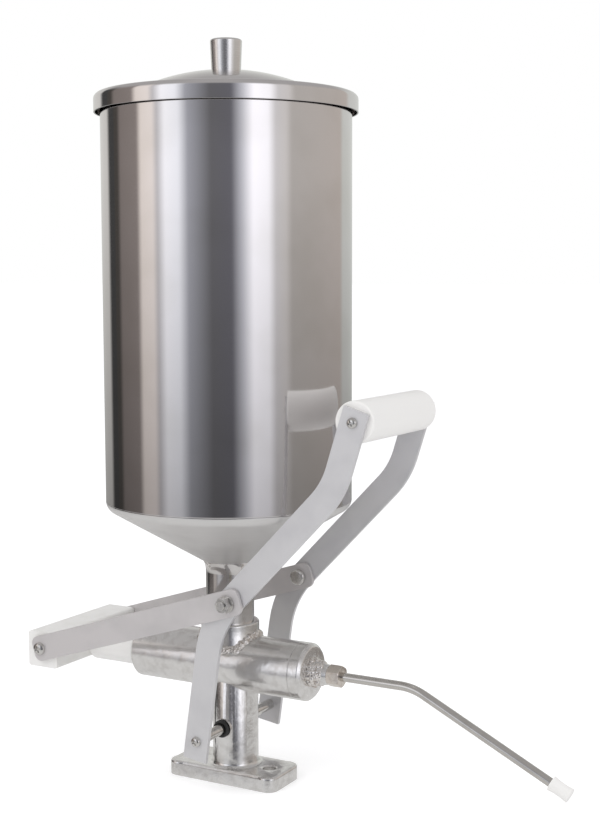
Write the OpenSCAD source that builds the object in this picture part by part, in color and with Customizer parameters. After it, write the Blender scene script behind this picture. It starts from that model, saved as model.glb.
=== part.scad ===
// Hand-lever churro filler. A polished steel hopper stands on a small cast piston pump.
// Pulling the white grip forward turns two bent lever plates about a low cross shaft,
// and two link bars push a nylon piston forward, so the filling leaves by the bent nozzle.
// Millimetres. Origin: centre of the foot's underside. +X is the nozzle side, +Z is up,
// -Y is the near side.

/* [Foot and column] */
// Length of the cast foot along the barrel
foot_length = 92; // [80:1:120]
// Width of the cast foot
foot_width = 42; // [40:1:60]
// Thickness of the cast foot
foot_thick = 11; // [8:0.5:16]
// Radius of the foot's upright corners
foot_corner_r = 8; // [5:0.5:14]
// Radius of the foot's upper edge
foot_edge_r = 2; // [1:0.5:3]
// Diameter of the two mounting holes
foot_hole_d = 10; // [6:0.5:12]
// Distance between the two mounting holes
foot_hole_pitch = 62; // [58:1:70]
// Diameter of the round column
column_d = 34; // [28:1:38]
// Radius of the fillet where the column meets the foot
foot_fillet_r = 3.5; // [1:0.5:4]

/* [Pump barrel] */
// Outer diameter of the barrel
barrel_d = 42; // [38:1:50]
// Height of the barrel's axis
barrel_z = 88; // [76:1:100]
// Length of the barrel from the hopper axis to its rear end
barrel_rear_l = 78; // [70:1:90]
// Length of the barrel from the hopper axis to its front face, end cap included
barrel_front_l = 70; // [64:1:80]
// Chamfer at the barrel's two ends
barrel_chamfer = 2.5; // [1:0.5:4]
// Thickness of the end cap that closes the front
cap_thick = 10; // [6:0.5:14]
// Diameter of the spigot that centres the end cap
cap_spigot_d = 20; // [16:1:26]
// Length of the spigot that centres the end cap
cap_spigot_l = 4; // [2:0.5:8]
// Depth of the piston bore past the hopper axis
bore_front_l = 34; // [30:1:44]
// Diameter of the outlet passage
outlet_d = 10; // [6:0.5:12]
// Diameter of the inlet port under the hopper
port_d = 20; // [14:1:24]

/* [Inlet socket] */
// Outer diameter of the socket that carries the hopper
socket_d = 43; // [40:1:48]
// Height of the socket's rim over the top of the barrel
socket_h = 10; // [8:0.5:16]
// Radius of the socket's rounded rim
socket_rim_r = 1.6; // [0.5:0.1:2.5]
// Width that the brazed foot of the socket adds all round
socket_flare = 3.5; // [1:0.5:5]

/* [Hopper] */
// Outer diameter of the hopper
hopper_d = 180; // [160:1:200]
// Height of the hopper's straight wall
hopper_h = 290; // [200:1:320]
// Thickness of the hopper's sheet
sheet_t = 1; // [0.8:0.1:1.5]
// Distance of the hopper's axis behind the foot's centre
hopper_back = 2; // [0:0.5:6]
// Radius of the bend between the wall and the cone
knuckle_r = 7.5; // [4:0.5:12]
// Slope of the cone below the horizontal
cone_slope = 30.5; // [24:0.5:38]
// Outer diameter of the spout under the cone
spout_d = 35.6; // [32:0.2:38]
// Wall of the spout
spout_wall = 1.5; // [1:0.1:2.5]
// Free length of the spout between the socket and the cone
spout_free_l = 44; // [38:1:50]
// Radius of the rolled bead at the hopper's rim
rim_bead_r = 1.6; // [1:0.1:2]

/* [Lid] */
// Gap between the hopper's rim bead and the lid's skirt
lid_side_gap = 1.9; // [0.5:0.1:3]
// Height of the lid's skirt, rounded shoulder included
lid_skirt_h = 13; // [9:0.5:20]
// Outer radius of the lid's shoulder
lid_shoulder_r = 4; // [2:0.5:6]
// Width of the flat ring round the lid's dome
lid_ring_w = 21; // [5:0.5:25]
// Rise of the lid's dome
dome_rise = 17; // [10:0.5:24]
// Diameter of the lid's knob
knob_d = 23; // [16:0.5:30]
// Height of the lid's knob
knob_h = 22; // [14:0.5:30]
// Diameter of the knob's screw
knob_screw_d = 5; // [4:0.5:6]

/* [Lever] */
// Width of the lever plates and link bars
strip_w = 19; // [17:0.5:22]
// Thickness of the lever plates and link bars
strip_t = 3; // [2:0.5:4]
// Clear distance between the two lever plates
lever_gap = 100; // [94:1:110]
// Height of the lever's cross shaft
pivot_z = 41.5; // [36:0.5:46]
// Distance of the cross shaft and the column in front of the foot's centre
pivot_front = 2; // [0:0.5:4]
// Lean of the lower leg from the vertical
lean_low = 8.3; // [4:0.1:12]
// Length of the lower leg, from the shaft to the first bend
leg_low = 89; // [84:1:94]
// Turn of the first bend
turn_low = 35.7; // [32:0.1:39]
// Radius of the first bend on the centre line
bend_low_r = 75; // [55:1:85]
// Length of the middle leg, from bend to bend
leg_mid = 140; // [134:1:150]
// Turn of the second bend
turn_top = 26.5; // [20:0.1:32]
// Radius of the second bend on the centre line
bend_top_r = 60; // [40:1:80]
// Length of the upper leg, from the second bend to the grip's axis
leg_top = 48.5; // [44:0.5:60]
// Length of plate past the cross shaft
tail_l = 14; // [11:0.5:20]
// Length of plate past the grip's axis
head_l = 9; // [7:0.5:12]
// Diameter of the white grip
grip_d = 29; // [25:0.5:36]
// Diameter of the cross shaft
shaft_d = 8; // [6:0.5:9]
// Diameter of the flat seats on the column's sides
seat_d = 14; // [13:0.5:18]
// Height of the flat seats over the column's surface
seat_h = 1.5; // [1:0.5:2.5]
// Thickness of the rubber rings on the cross shaft
ring_t = 2.5; // [2:0.1:3.5]

/* [Links and piston] */
// Distance of the link bolt from the first bend, along the middle leg
bolt_along = 22; // [16:1:28]
// Length of the link bars between their hole centres
link_length = 175; // [168:1:182]
// Rounded length of bar past its front hole
link_end_l = 11; // [8:0.5:14]
// Rounded length of bar past its rear hole
link_tail_l = 6.5; // [6:0.5:14]
// Height of the crosspiece's screws over the barrel's axis
crossbar_lift = 4.5; // [0:0.5:6]
// Height of the crosspiece's middle over the barrel's axis
block_lift = 3; // [0:0.5:5]
// Thickness of the crosspiece along the barrel
block_l = 27; // [24:0.5:32]
// Height of the crosspiece
block_h = 27; // [25:0.5:32]
// Radius of the crosspiece's long edges
block_edge_r = 2.5; // [1:0.5:5]
// Diameter of the piston
piston_d = 28; // [24:0.5:30]
// Length of the piston in front of the crosspiece
piston_l = 109; // [104:1:112]
// Diameter of the piston's spigot in the crosspiece
piston_spigot_d = 16; // [10:1:18]
// Length of the piston's spigot in the crosspiece
piston_spigot_l = 15; // [8:1:20]
// Width of the piston's two seal rings
seal_w = 3; // [2:0.5:4]
// Depth of the seal grooves
seal_depth = 2; // [1:0.5:3]

/* [Fasteners] */
// Thread diameter of the link bolts
bolt_d = 6; // [5:0.5:6]
// Thread diameter of the crosspiece, shaft and grip screws
screw_d = 5; // [4:0.5:5]
// Head diameter of the crosspiece screws
cross_head_d = 10.5; // [10:0.5:12]
// Head diameter of the shaft and grip screws
end_head_d = 9; // [8:0.5:10]
// Height of the screw heads
head_h = 2.8; // [2:0.2:3.6]
// Length of the shaft and grip screws under their heads
end_screw_l = 16; // [12:1:24]
// Length of the crosspiece screws under their heads
cross_screw_l = 22; // [16:1:30]
// Width across flats of the link nuts
bolt_nut_w = 10; // [9:0.5:11]
// Height of the link nuts
bolt_nut_h = 5; // [4:0.5:6]
// Diameter of the link washers
washer_d = 12.5; // [11:0.5:14]
// Thickness of the link washers
washer_t = 1.2; // [0.8:0.1:1.6]

/* [Nozzle] */
// Outer diameter of the nozzle tube
tube_d = 6.4; // [5:0.1:8]
// Wall of the nozzle tube
tube_wall = 1; // [0.5:0.1:1.2]
// Length of the cone that carries the nozzle nut
boss_l = 14; // [8:0.5:18]
// Diameter of that cone at the end cap
boss_root_d = 20; // [17:0.5:26]
// Diameter of that cone at the nut
boss_tip_d = 14; // [13:0.5:16]
// Diameter of the thread under the nut
thread_d = 10; // [9:0.5:11]
// Width across flats of the nozzle nut
nozzle_nut_w = 14; // [13:0.5:17]
// Length of the nozzle nut
nozzle_nut_l = 10; // [8:0.5:14]
// Length of the clamping ring in the nut
ferrule_l = 2; // [1.5:0.5:3]
// Length of the tube's level leg, from the end cap to the bend's corner
tube_level_l = 79; // [70:1:90]
// Turn of the tube's bend below the horizontal
tube_turn = 26.5; // [15:0.5:40]
// Radius of the tube's bend on its centre line
tube_bend_r = 40; // [20:1:60]
// Length of the tube's sloping leg, from the bend's corner to its open end
tube_slope_l = 124; // [90:1:150]
// Length of the white tip cap
tip_l = 15; // [12:0.5:20]
// Largest diameter of the tip cap
tip_d = 10.8; // [9:0.2:14]
// Depth of the waist round the tip cap
tip_waist = 0.7; // [0:0.1:1]
// Length of tube inside the tip cap
tip_grip_l = 11; // [8:0.5:13]

/* [Clearances] */
// Gap between pieces that move past each other
move_gap = 0.3; // [0.2:0.05:0.5]
// Radial clearance of a running fit
run_fit = 0.05; // [0.01:0.01:0.1]
// Radial clearance between a fixed pin and its hole
seat_fit = 0.02; // [0:0.01:0.05]
// Radial play of the link's rear hole round its screw
link_play = 1.65; // [1.55:0.05:1.9]

/* [Hidden] */

$fn = 96;
cut = 1;                  // how far a cutting tool reaches past the face it opens
big = 400;                // larger than any piece that a tool has to pass through
bend_draw = 0.03;         // how much a bend thins its strip, sheet or tube wall on each side
bend_lap = 0.3;           // how far a bend runs into the straights beside it, in degrees

aluminium = "gainsboro";
brushed = "lightgray";
steel = "silver";
nylon = "white";
rubber = "black";

// Column and barrel
hopper_x = -hopper_back;
barrel_r = barrel_d / 2;
barrel_rear_x = hopper_x - barrel_rear_l;
barrel_front_x = hopper_x + barrel_front_l;
cap_x = barrel_front_x - cap_thick;
bore_d = piston_d + 2 * run_fit;
bore_end_x = hopper_x + bore_front_l;
barrel_top_z = barrel_z + barrel_r;
seat_y = column_d / 2 + seat_h;

// Hopper
hopper_r = hopper_d / 2;
spout_r = spout_d / 2;
cone_top_z = barrel_top_z + socket_h + spout_free_l;      // where the cone meets the spout
cone_corner_z = cone_top_z + (hopper_r - spout_r) * tan(cone_slope);
seam_z = cone_corner_z + knuckle_r * tan((90 - cone_slope) / 2);
rim_z = seam_z + hopper_h;

// Lid
lid_r = hopper_r + rim_bead_r + lid_side_gap + sheet_t;
lid_under_z = rim_z + move_gap;
lid_ring_z = lid_under_z + sheet_t;
dome_r = lid_r - lid_shoulder_r - lid_ring_w;
dome_radius = (dome_r * dome_r + dome_rise * dome_rise) / (2 * dome_rise);
dome_centre_z = lid_ring_z + dome_rise - dome_radius;
dome_half_angle = asin(dome_r / dome_radius);
dome_top_z = lid_ring_z + dome_rise;
knob_sink = 0.5;          // how far the knob's foot sinks round the curved dome
knob_screw_l = 14;        // depth of the knob's screw hole
knob_washer_h = 2.5;      // height of the screw's head and washer inside the lid
knob_screw_gap = 0.1;     // between that head and the lid's sheet

// Lever: the bolt and grip places follow the strip's bends
strip_half = strip_w / 2;
lean_mid = lean_low + turn_low;
lean_top = lean_mid - turn_top;
function leg_end(start, lean, length) = [start[0] + length * sin(lean), start[1] + length * cos(lean)];
pivot = [pivot_front, pivot_z];
corner_low = leg_end(pivot, lean_low, leg_low);
corner_top = leg_end(corner_low, lean_mid, leg_mid);
grip_axis = leg_end(corner_top, lean_top, leg_top);
link_front = leg_end(corner_low, lean_mid, bolt_along);
plate_inner_y = lever_gap / 2;
plate_outer_y = plate_inner_y + strip_t;
shaft_l = lever_gap;

// Links: each bar lies on the near side of its plate
near_link_y = -(plate_outer_y + move_gap + strip_t);
far_link_y = plate_inner_y - move_gap - strip_t;
cross_z = barrel_z + crossbar_lift;
link_drop = link_front[1] - cross_z;
link_rear = [link_front[0] - sqrt(link_length * link_length - link_drop * link_drop), cross_z];
link_slope = atan2(link_drop, link_front[0] - link_rear[0]);
link_hole_d = screw_d + 2 * link_play;

// Crosspiece and piston
block_near_y = near_link_y + strip_t + move_gap;
block_far_y = far_link_y - move_gap;
block_front_x = link_rear[0] + block_l / 2;
seal_pitch = 3 * seal_w;
seal_first = 5;           // from the piston's front face to its first seal
hole_spare = 2;           // depth of a blind screw hole past its screw's end

// Nozzle
boss_end_x = barrel_front_x + boss_l;
nut_lip = 1.8;            // thickness of the nozzle nut's closed end
nut_gap = 0.2;            // on both sides of the clamping ring, and round it
thread_end_x = boss_end_x + nozzle_nut_l - nut_lip - ferrule_l - 2 * nut_gap;
tube_inset = 4;           // from the end cap's face to the tube's open rear end
tube_start_x = barrel_front_x + tube_inset;
tube_corner = [barrel_front_x + tube_level_l, barrel_z];
tube_tangent = tube_bend_r * tan(tube_turn / 2);

// ---------- shared shapes ----------

// A rectangle with round corners, centred
module rounded_rectangle(length, width, radius) {
    square([length - 2 * radius, width], center = true);
    square([length, width - 2 * radius], center = true);
    for (sx = [-1, 1], sy = [-1, 1])
        translate([sx * (length / 2 - radius), sy * (width / 2 - radius)]) circle(radius);
}

// A slab with upright round corners and a rounded upper edge
module rounded_slab(length, width, height, corner, edge) {
    linear_extrude(height - edge) rounded_rectangle(length, width, corner);
    linear_extrude(height)
        rounded_rectangle(length - 2 * edge, width - 2 * edge, corner - edge);
    translate([0, 0, height - edge]) {
        for (side = [-1, 1]) {
            translate([-length / 2 + corner, side * (width / 2 - edge), 0])
                rotate([0, 90, 0]) cylinder(r = edge, h = length - 2 * corner);
            translate([side * (length / 2 - edge), width / 2 - corner, 0])
                rotate([90, 0, 0]) cylinder(r = edge, h = width - 2 * corner);
        }
        for (sx = [-1, 1], sy = [-1, 1])
            translate([sx * (length / 2 - corner), sy * (width / 2 - corner), 0])
                rotate_extrude() translate([corner - edge, 0]) circle(edge);
    }
}

// A disc along +Z whose upper edge is rounded
module rounded_disc(diameter, height, edge) {
    cylinder(d = diameter, h = height - edge);
    cylinder(d = diameter - 2 * edge, h = height);
    translate([0, 0, height - edge]) rotate_extrude() translate([diameter / 2 - edge, 0]) circle(edge);
}

// A cylinder along +X with one chamfered end, at the far end or at the near one
module chamfered_bar(diameter, length, chamfer, far_end = true) {
    rotate([0, 90, 0]) translate([0, 0, far_end ? 0 : length]) mirror([0, 0, far_end ? 0 : 1]) {
        cylinder(d = diameter, h = length - chamfer);
        translate([0, 0, length - chamfer])
            cylinder(d1 = diameter, d2 = diameter - 2 * chamfer, h = chamfer);
    }
}

// A cylinder along Y from y0 to y1, at [x, z]
module cross_cylinder(place, diameter, y0, y1) {
    translate([place[0], y1, place[1]]) rotate([90, 0, 0]) cylinder(d = diameter, h = y1 - y0);
}

// The part of a ring between two angles, for bends of less than a half turn. It is drawn a hair
// thinner than the straights that it joins, and runs a hair into them
module bend(radius, thickness, from, to) {
    wedge_reach = 2 * radius;
    angles = [from - bend_lap, (from + to) / 2, to + bend_lap];
    intersection() {
        difference() {
            circle(radius + thickness / 2 - bend_draw);
            circle(radius - thickness / 2 + bend_draw);
        }
        polygon([[0, 0], for (angle = angles) wedge_reach * [cos(angle), sin(angle)]]);
    }
}

// A hexagonal nut along +Z whose corners are turned off at both ends
module hex_nut(width, height, chamfer) {
    corner_d = width / cos(30);
    intersection() {
        cylinder(d = corner_d, h = height, $fn = 6);
        union() {
            translate([0, 0, chamfer]) cylinder(d = corner_d, h = height - 2 * chamfer);
            cylinder(d1 = corner_d - 2 * chamfer, d2 = corner_d, h = chamfer);
            translate([0, 0, height - chamfer])
                cylinder(d1 = corner_d, d2 = corner_d - 2 * chamfer, h = chamfer);
        }
    }
}

// A pan-head screw along Y at [x, z]. Its head's underside is at y, and it points to +Y or -Y
module pan_screw(place, y, points, head_d, length) {
    translate([place[0], y, place[1]]) rotate([points > 0 ? -90 : 90, 0, 0]) {
        cylinder(d = screw_d, h = length);
        mirror([0, 0, 1]) rounded_disc(head_d, head_h, head_h / 2);
    }
}

// ---------- pump ----------

// The foot with the round column, whose top is cut to fit under the barrel
module foot_column() {
    color(aluminium) difference() {
        union() {
            rounded_slab(foot_length, foot_width, foot_thick, foot_corner_r, foot_edge_r);
            translate([pivot_front, 0, 0]) cylinder(d = column_d, h = barrel_z);
            translate([pivot_front, 0, foot_thick]) foot_fillet();
            cross_cylinder(pivot, seat_d, -seat_y, seat_y);
        }
        translate([barrel_rear_x, 0, barrel_z]) rotate([0, 90, 0])
            cylinder(d = barrel_d, h = cap_x - barrel_rear_x);
        cross_cylinder(pivot, shaft_d + 2 * run_fit, -seat_y - cut, seat_y + cut);
        for (side = [-1, 1]) translate([side * foot_hole_pitch / 2, 0, 0]) mounting_hole();
    }
}

module pump_barrel() {
    color(aluminium) difference() {
        translate([barrel_rear_x, 0, barrel_z])
            chamfered_bar(barrel_d, cap_x - barrel_rear_x, barrel_chamfer, far_end = false);
        piston_bore();
        translate([hopper_x, 0, barrel_z]) cylinder(d = port_d, h = barrel_r + cut);
    }
}

// The concave fillet round the column's foot
module foot_fillet() {
    root_r = column_d / 2;
    rotate_extrude() difference() {
        translate([root_r - cut, 0]) square([foot_fillet_r + cut, foot_fillet_r]);
        translate([root_r + foot_fillet_r, foot_fillet_r]) circle(foot_fillet_r);
    }
}

module mounting_hole() {
    rim = 1;
    translate([0, 0, -cut]) cylinder(d = foot_hole_d, h = foot_thick + 2 * cut);
    translate([0, 0, foot_thick - rim])
        cylinder(d1 = foot_hole_d, d2 = foot_hole_d + 2 * (rim + cut), h = rim + cut);
}

// The piston's bore, its drilled cone, and the passage to the outlet
module piston_bore() {
    drill_slope = 31;     // the cone that a 118-degree drill leaves
    cone_l = (bore_d - outlet_d) / 2 * tan(drill_slope);
    translate([barrel_rear_x, 0, barrel_z]) rotate([0, 90, 0]) {
        translate([0, 0, -cut]) cylinder(d = bore_d, h = bore_end_x - barrel_rear_x + cut);
        translate([0, 0, bore_end_x - barrel_rear_x]) cylinder(d1 = bore_d, d2 = outlet_d, h = cone_l);
        cylinder(d = outlet_d, h = cap_x - barrel_rear_x + cut);
        translate([0, 0, cap_x - cap_spigot_l - barrel_rear_x])
            cylinder(d = cap_spigot_d + 2 * seat_fit, h = cap_spigot_l + cut);
    }
}

module front_cap() {
    step_l = 3;           // narrow passage between the wide outlet and the tube
    color(aluminium) translate([cap_x, 0, barrel_z]) difference() {
        union() {
            chamfered_bar(barrel_d, cap_thick, barrel_chamfer);
            translate([-cap_spigot_l, 0, 0]) rotate([0, 90, 0])
                cylinder(d = cap_spigot_d, h = cap_spigot_l + cut);
            rotate([0, 90, 0]) {
                translate([0, 0, cap_thick]) cylinder(d1 = boss_root_d, d2 = boss_tip_d, h = boss_l);
                translate([0, 0, cap_thick]) cylinder(d = thread_d, h = thread_end_x - barrel_front_x);
            }
        }
        rotate([0, 90, 0]) {
            translate([0, 0, -cap_spigot_l - cut])
                cylinder(d = outlet_d, h = cap_spigot_l + cut + tube_start_x - cap_x - step_l);
            translate([0, 0, -cut])
                cylinder(d = tube_d - 2 * tube_wall, h = tube_start_x - cap_x + 2 * cut);
            translate([0, 0, tube_start_x - cap_x])
                cylinder(d = tube_d + 2 * seat_fit, h = thread_end_x - tube_start_x + cut);
        }
    }
}

module inlet_socket() {
    saddle_share = 0.55;  // how high up the barrel's flank the socket's foot starts
    flare_above = 2;      // how far the flare runs on over the barrel's top
    foot_z = barrel_z + barrel_r * saddle_share;
    color(aluminium) difference() {
        translate([hopper_x, 0, foot_z]) union() {
            rounded_disc(socket_d, barrel_top_z + socket_h - foot_z, socket_rim_r);
            cylinder(d1 = socket_d + 2 * socket_flare, d2 = socket_d,
                h = barrel_top_z - foot_z + flare_above);
        }
        translate([barrel_rear_x, 0, barrel_z]) rotate([0, 90, 0])
            cylinder(d = barrel_d, h = 2 * barrel_rear_l);
        translate([hopper_x, 0, barrel_z]) cylinder(d = port_d, h = big);
        translate([hopper_x, 0, barrel_top_z]) cylinder(d = spout_d + 2 * seat_fit, h = big);
    }
}

// ---------- hopper ----------

module hopper_spout() {
    color(steel) translate([hopper_x, 0, barrel_top_z]) difference() {
        cylinder(d = spout_d, h = cone_top_z - barrel_top_z);
        translate([0, 0, -cut])
            cylinder(d = spout_d - 2 * spout_wall, h = cone_top_z - barrel_top_z + 2 * cut);
    }
}

// The cone's sheet with its knuckle, on the half plane right of the axis
module cone_profile() {
    outlet_r = spout_r - spout_wall;
    normal = sheet_t * [-sin(cone_slope), cos(cone_slope)];
    knuckle_centre = [hopper_r - knuckle_r, seam_z];
    knuckle_foot = knuckle_centre + knuckle_r * [sin(cone_slope), -cos(cone_slope)];
    outlet_edge = [spout_r, cone_top_z];
    translate(knuckle_centre) bend(knuckle_r - sheet_t / 2, sheet_t, cone_slope - 90, -bend_lap);
    polygon([knuckle_foot, knuckle_foot + normal, outlet_edge + normal,
        [outlet_r, cone_top_z + sheet_t], [outlet_r, cone_top_z], outlet_edge]);
}

module hopper_cone() {
    color(steel) translate([hopper_x, 0, 0]) {
        rotate_extrude() cone_profile();
        spout_weld();
    }
}

// The weld ring in the corner under the cone
module spout_weld() {
    weld_r = 3;
    weld_lap = 0.4;       // how far the weld runs into the cone's sheet
    weld_toe = 0.6;       // width of the weld at its lower edge
    difference() {
        translate([0, 0, cone_top_z - weld_r])
            cylinder(r1 = spout_r + weld_toe, r2 = spout_r + weld_r, h = weld_r + weld_r * tan(cone_slope));
        translate([0, 0, cone_top_z - weld_r - cut]) cylinder(d = spout_d, h = weld_r + cut);
        translate([0, 0, cone_top_z + weld_lap]) cylinder(r1 = spout_r, r2 = spout_r + weld_r + cut,
            h = (weld_r + cut) * tan(cone_slope));
    }
}

module hopper_shell() {
    bead_wall = 0.8;
    color(steel) translate([hopper_x, 0, seam_z]) rotate_extrude() {
        translate([hopper_r - sheet_t, 0]) square([sheet_t, hopper_h - rim_bead_r]);
        difference() {
            translate([hopper_r, hopper_h - rim_bead_r]) circle(rim_bead_r);
            translate([hopper_r, hopper_h - rim_bead_r]) circle(rim_bead_r - bead_wall);
        }
    }
}

// ---------- lid ----------

module lid_profile() {
    fold_w = 1.5 * sheet_t;       // the crease between the ring and the dome
    fold_drop = 0.2 * sheet_t;
    shoulder_centre = [lid_r - lid_shoulder_r, lid_ring_z - lid_shoulder_r];
    translate([lid_r - sheet_t, lid_ring_z - lid_skirt_h]) square([sheet_t, lid_skirt_h - lid_shoulder_r]);
    translate(shoulder_centre) bend(lid_shoulder_r - sheet_t / 2, sheet_t, 0, 90);
    translate([dome_r, lid_under_z]) square([lid_ring_w, sheet_t]);
    intersection() {
        translate([0, dome_centre_z])
            bend(dome_radius - sheet_t / 2, sheet_t, 90 - dome_half_angle, 90 + dome_half_angle);
        square([dome_r, big * 2]);
    }
    translate([dome_r - sheet_t, lid_under_z - fold_drop]) square([fold_w, sheet_t + fold_drop]);
}

module lid_cover() {
    color(steel) translate([hopper_x, 0, 0]) difference() {
        rotate_extrude() lid_profile();
        translate([0, 0, dome_top_z - 2 * sheet_t])
            cylinder(d = knob_screw_d + 2 * seat_fit, h = 4 * sheet_t);
    }
}

module lid_knob() {
    foot_d = knob_d - 2;
    band_h = 4;
    edge_r = 1.5;
    fine = 200;
    color(steel) translate([hopper_x, 0, 0]) difference() {
        translate([0, 0, dome_top_z - knob_sink]) {
            cylinder(d1 = foot_d, d2 = knob_d, h = knob_h + knob_sink - band_h);
            translate([0, 0, knob_h + knob_sink - band_h]) rounded_disc(knob_d, band_h, edge_r);
        }
        translate([0, 0, dome_centre_z]) sphere(dome_radius, $fn = fine);
        translate([0, 0, dome_top_z - cut])
            cylinder(d = knob_screw_d + 2 * seat_fit, h = knob_screw_l + cut);
    }
}

// The screw that holds the knob from inside the lid
module lid_screw() {
    color(steel) translate([hopper_x, 0, dome_top_z - sheet_t - knob_screw_gap]) {
        cylinder(d = knob_screw_d, h = knob_screw_l - 1);
        translate([0, 0, -knob_washer_h]) cylinder(d = knob_screw_d * 2, h = knob_washer_h);
    }
}

// ---------- lever ----------

// One lever plate seen from the near side: three straight legs and two bends
module lever_outline() {
    low_tangent = bend_low_r * tan(turn_low / 2);
    top_tangent = bend_top_r * tan(turn_top / 2);
    strip_leg(pivot, lean_low, -tail_l, leg_low - low_tangent);
    strip_leg(corner_low, lean_mid, low_tangent, leg_mid - top_tangent);
    strip_leg(corner_top, lean_top, top_tangent, leg_top + head_l);
    // the first bend turns forward, so its centre lies in front
    low_start = leg_end(corner_low, lean_low, -low_tangent);
    translate(low_start + bend_low_r * [cos(lean_low), -sin(lean_low)])
        bend(bend_low_r, strip_w, 180 - lean_mid, 180 - lean_low);
    // the second bend turns back up, so its centre lies behind
    top_start = leg_end(corner_top, lean_mid, -top_tangent);
    translate(top_start - bend_top_r * [cos(lean_mid), -sin(lean_mid)])
        bend(bend_top_r, strip_w, -lean_mid, -lean_top);
}

// A straight stretch of strip along a leaning line, from one distance to another
module strip_leg(start, lean, from, to) {
    translate(start) rotate(-lean) translate([-strip_half, from]) square([strip_w, to - from]);
}

module lever_plate(inner_y, outer_y) {
    difference() {
        translate([0, outer_y, 0]) rotate([90, 0, 0]) linear_extrude(outer_y - inner_y) lever_outline();
        cross_cylinder(pivot, screw_d + 2 * seat_fit, inner_y - cut, outer_y + cut);
        cross_cylinder(grip_axis, screw_d + 2 * seat_fit, inner_y - cut, outer_y + cut);
        cross_cylinder(link_front, bolt_d + 2 * seat_fit, inner_y - cut, outer_y + cut);
    }
}

module near_lever() {
    color(brushed) lever_plate(-plate_outer_y, -plate_inner_y);
}

module far_lever() {
    color(brushed) lever_plate(plate_inner_y, plate_outer_y);
}

module grip() {
    edge_r = 1;
    color(nylon) difference() {
        for (side = [-1, 1]) translate([grip_axis[0], 0, grip_axis[1]]) rotate([side * 90, 0, 0])
            rounded_disc(grip_d, plate_inner_y, edge_r);
        for (side = [-1, 1]) end_hole(grip_axis, side);
    }
}

// A blind hole for an end screw, from the plate inwards
module end_hole(place, side) {
    depth = end_screw_l - strip_t + hole_spare;
    cross_cylinder(place, screw_d + 2 * seat_fit, side > 0 ? plate_inner_y - depth : -plate_inner_y - cut,
        side > 0 ? plate_inner_y + cut : -plate_inner_y + depth);
}

module grip_screws() {
    color(steel) for (side = [-1, 1])
        pan_screw(grip_axis, side * plate_outer_y, -side, end_head_d, end_screw_l);
}

module pivot_shaft() {
    color(steel) difference() {
        cross_cylinder(pivot, shaft_d, -shaft_l / 2, shaft_l / 2);
        for (side = [-1, 1]) end_hole(pivot, side);
    }
}

module pivot_screws() {
    color(steel) for (side = [-1, 1])
        pan_screw(pivot, side * plate_outer_y, -side, end_head_d, end_screw_l);
}

// The rubber rings on the shaft, beside the column's seats
module pivot_rings() {
    ring_y = seat_y + move_gap + ring_t / 2;
    color(rubber) for (side = [-1, 1]) translate([pivot[0], side * ring_y, pivot[1]]) rotate([90, 0, 0])
        rotate_extrude() difference() {
            translate([shaft_d / 2 + ring_t / 2, 0]) circle(ring_t / 2);
            square([shaft_d, 2 * ring_t], center = true);
        }
}

// ---------- links ----------

// The bolts' heads lie inside the near plate and inside the far bar
module link_bolts() {
    past_nut = 1.5;
    bolt_head_h = 0.6 * bolt_d;
    bolt_head_edge = 0.25 * bolt_d;
    near_head_y = -plate_inner_y;
    far_head_y = far_link_y - move_gap;
    near_end_y = near_link_y - move_gap - washer_t - bolt_nut_h - past_nut;
    far_end_y = plate_outer_y + washer_t + bolt_nut_h + past_nut;
    color(steel) {
        cross_cylinder(link_front, bolt_d, near_end_y, near_head_y);
        cross_cylinder(link_front, bolt_d, far_head_y, far_end_y);
        for (y = [near_head_y, far_head_y]) translate([link_front[0], y, link_front[1]])
            rotate([y == near_head_y ? -90 : 90, 0, 0])
                rounded_disc(2 * bolt_d, bolt_head_h, bolt_head_edge);
    }
}

module link_washers() {
    color(steel) for (y = [near_link_y - move_gap - washer_t, plate_outer_y]) difference() {
        cross_cylinder(link_front, washer_d, y, y + washer_t);
        cross_cylinder(link_front, bolt_d + 2 * seat_fit, y - cut, y + washer_t + cut);
    }
}

module link_nuts() {
    bolt_nut_chamfer = 0.6;
    near_y = near_link_y - move_gap - washer_t;
    far_y = plate_outer_y + washer_t;
    color(steel) for (side = [-1, 1]) difference() {
        translate([link_front[0], side < 0 ? near_y : far_y, link_front[1]])
            rotate([side < 0 ? 90 : -90, 0, 0]) hex_nut(bolt_nut_w, bolt_nut_h, bolt_nut_chamfer);
        cross_cylinder(link_front, bolt_d + 2 * seat_fit, -big, big);
    }
}

// A flat bar between two hole centres with softly rounded ends
module link_bar(y) {
    corner_share = 0.3;   // of the bar's width, so its ends are softly squared
    difference() {
        translate([link_rear[0], y + strip_t, link_rear[1]]) rotate([90, 0, 0]) linear_extrude(strip_t)
            rotate(link_slope) translate([(link_length + link_end_l - link_tail_l) / 2, 0])
                rounded_rectangle(link_tail_l + link_length + link_end_l, strip_w, corner_share * strip_w);
        cross_cylinder(link_front, bolt_d + 2 * run_fit, y - cut, y + strip_t + cut);
        cross_cylinder(link_rear, link_hole_d, y - cut, y + strip_t + cut);
    }
}

module near_link() {
    color(brushed) link_bar(near_link_y);
}

module far_link() {
    color(brushed) link_bar(far_link_y);
}

// ---------- crosspiece and piston ----------

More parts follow.
